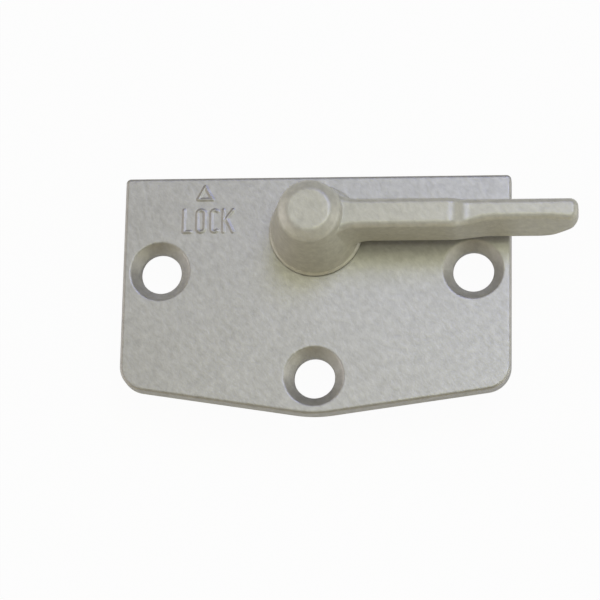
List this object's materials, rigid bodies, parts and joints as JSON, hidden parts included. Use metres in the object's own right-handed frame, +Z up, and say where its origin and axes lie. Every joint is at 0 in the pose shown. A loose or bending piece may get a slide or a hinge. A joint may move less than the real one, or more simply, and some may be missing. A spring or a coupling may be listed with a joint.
{
  "type": "sash lock",
  "caption": "Cam sash lock: a lever handle on a flat screw-down plate turns a hooked cam under the plate out past its rear edge.",
  "frame": {"origin": "midway between the two side screw holes, on the plate's underside, which lies on the check rail", "axes": "+X to the right along the plate's long side, the way the unlocked lever points; +Y to the rear, towards the keeper; +Z up, off the rail"},
  "size_m": [0.067, 0.0358, 0.0225],
  "materials": {
    "champagne_paint": "satin champagne paint on die-cast zinc, with a fine metallic grain",
    "bush_plastic": "natural acetal, matte",
    "spring_steel": "bright rolled spring steel",
    "plated_zinc": "bare die-cast zinc, slightly dull",
    "plated_steel": "bright zinc plated steel"
  },
  "bodies": {
    "base": {"base_plate": "champagne_paint", "spindle_bush": "bush_plastic", "detent_spring": "spring_steel"},
    "lever": {"handle": "champagne_paint", "friction_spring": "spring_steel", "cam": "plated_zinc", "retaining_washer": "plated_steel", "retaining_screw": "plated_steel"}
  },
  "joints": [
    {"name": "handle_turn", "type": "hinge", "parent": "base", "child": "lever", "pos_m": [0, 0.00595, 0], "axis": [0, 0, -1], "range_deg": [0, 180], "deforming": ["detent_spring"]}
  ]
}
